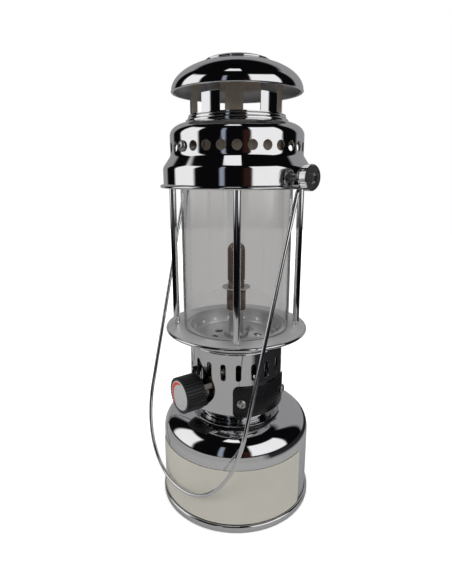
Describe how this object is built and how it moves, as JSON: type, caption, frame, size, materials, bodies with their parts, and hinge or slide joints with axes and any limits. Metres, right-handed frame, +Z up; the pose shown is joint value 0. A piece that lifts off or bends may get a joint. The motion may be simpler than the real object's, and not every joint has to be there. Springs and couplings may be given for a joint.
{
  "type": "gas lantern",
  "caption": "Tabletop gas lantern with a reservoir tank, slotted burner housing, glass globe, vented hood and wire handle.",
  "frame": {"origin": "on the lantern's axis, in the plane that it stands on", "axes": "+Z up; -Y towards the viewer of the picture; +X to its right"},
  "size_m": [0.1358, 0.1358, 0.3427],
  "materials": {
    "chrome_plate": "bright mirror plating",
    "bare_steel": "dull, heat tinted",
    "zinc_plate": "satin zinc",
    "brass": "machined",
    "burner_metal": "browned by heat",
    "knob_plastic": "satin black moulding",
    "cap_plastic": "pale grey moulding",
    "black_enamel": "satin black",
    "label_paper": "cream coated paper",
    "clear_glass": "polished",
    "seal_rubber": "moulded"
  },
  "bodies": {
    "lantern": {"burner_bridge": "zinc_plate", "burner_gauze": "burner_metal", "burner_head": "burner_metal", "burner_housing": "chrome_plate", "burner_tube": "zinc_plate", "frame_ring": "bare_steel", "frame_rod_1": "chrome_plate", "frame_rod_2": "chrome_plate", "frame_rod_3": "chrome_plate", "frame_rod_4": "chrome_plate", "gallery": "chrome_plate", "gallery_screw_1": "zinc_plate", "gallery_screw_2": "zinc_plate", "gas_jet": "brass", "gland_nut": "brass", "globe": "clear_glass", "handle_stud_1": "zinc_plate", "handle_stud_2": "zinc_plate", "mantle_washer": "zinc_plate", "nameplate": "black_enamel", "nameplate_screw_1": "zinc_plate", "nameplate_screw_2": "zinc_plate", "neck_collar": "chrome_plate", "neck_gasket": "seal_rubber", "rod_foot_nut_1": "zinc_plate", "rod_foot_nut_2": "zinc_plate", "rod_foot_nut_3": "zinc_plate", "rod_foot_nut_4": "zinc_plate", "rod_top_nut_1": "zinc_plate", "rod_top_nut_2": "zinc_plate", "rod_top_nut_3": "zinc_plate", "rod_top_nut_4": "zinc_plate", "spindle_seal": "seal_rubber", "tank_base": "chrome_plate", "tank_label": "label_paper", "tank_shell": "chrome_plate", "tube_flange_nut": "zinc_plate", "tube_lock_nut": "zinc_plate", "valve_body": "brass"},
    "regulator": {"regulator_knob": "knob_plastic", "knob_cap": "cap_plastic", "valve_spindle": "bare_steel"},
    "carrying_handle": {"handle": "chrome_plate"},
    "right_thumb_nut": {"thumb_nut_1": "chrome_plate"},
    "left_thumb_nut": {"thumb_nut_2": "chrome_plate"},
    "hood": {"hood_shell": "chrome_plate", "inner_flue": "bare_steel", "chimney_collar": "chrome_plate", "dome": "chrome_plate", "dome_cap": "chrome_plate", "flue_screw_1": "zinc_plate", "flue_screw_2": "zinc_plate", "flue_spacer_1": "zinc_plate", "flue_spacer_2": "zinc_plate", "flue_nut_1": "zinc_plate", "flue_nut_2": "zinc_plate"}
  },
  "joints": [
    {"name": "regulator_turn", "type": "hinge", "parent": "lantern", "child": "regulator", "pos_m": [0, 0, 0.0989], "axis": [-0.8039, -0.5948, 0], "range_deg": [0, 540]},
    {"name": "handle_swing", "type": "hinge", "parent": "lantern", "child": "carrying_handle", "pos_m": [0, 0, 0.2608], "axis": [-0.7071, 0.7071, 0], "range_deg": [0, 330]},
    {"name": "right_nut_turn", "type": "hinge", "parent": "lantern", "child": "right_thumb_nut", "pos_m": [0, 0, 0.2608], "axis": [0.7071, -0.7071, 0], "range_deg": [0, 1080]},
    {"name": "left_nut_turn", "type": "hinge", "parent": "lantern", "child": "left_thumb_nut", "pos_m": [0, 0, 0.2608], "axis": [-0.7071, 0.7071, 0], "range_deg": [0, 1080]},
    {"name": "hood_lift", "type": "slide", "parent": "lantern", "child": "hood", "axis": [0, 0, 1], "range_m": [0, 0.02]}
  ]
}
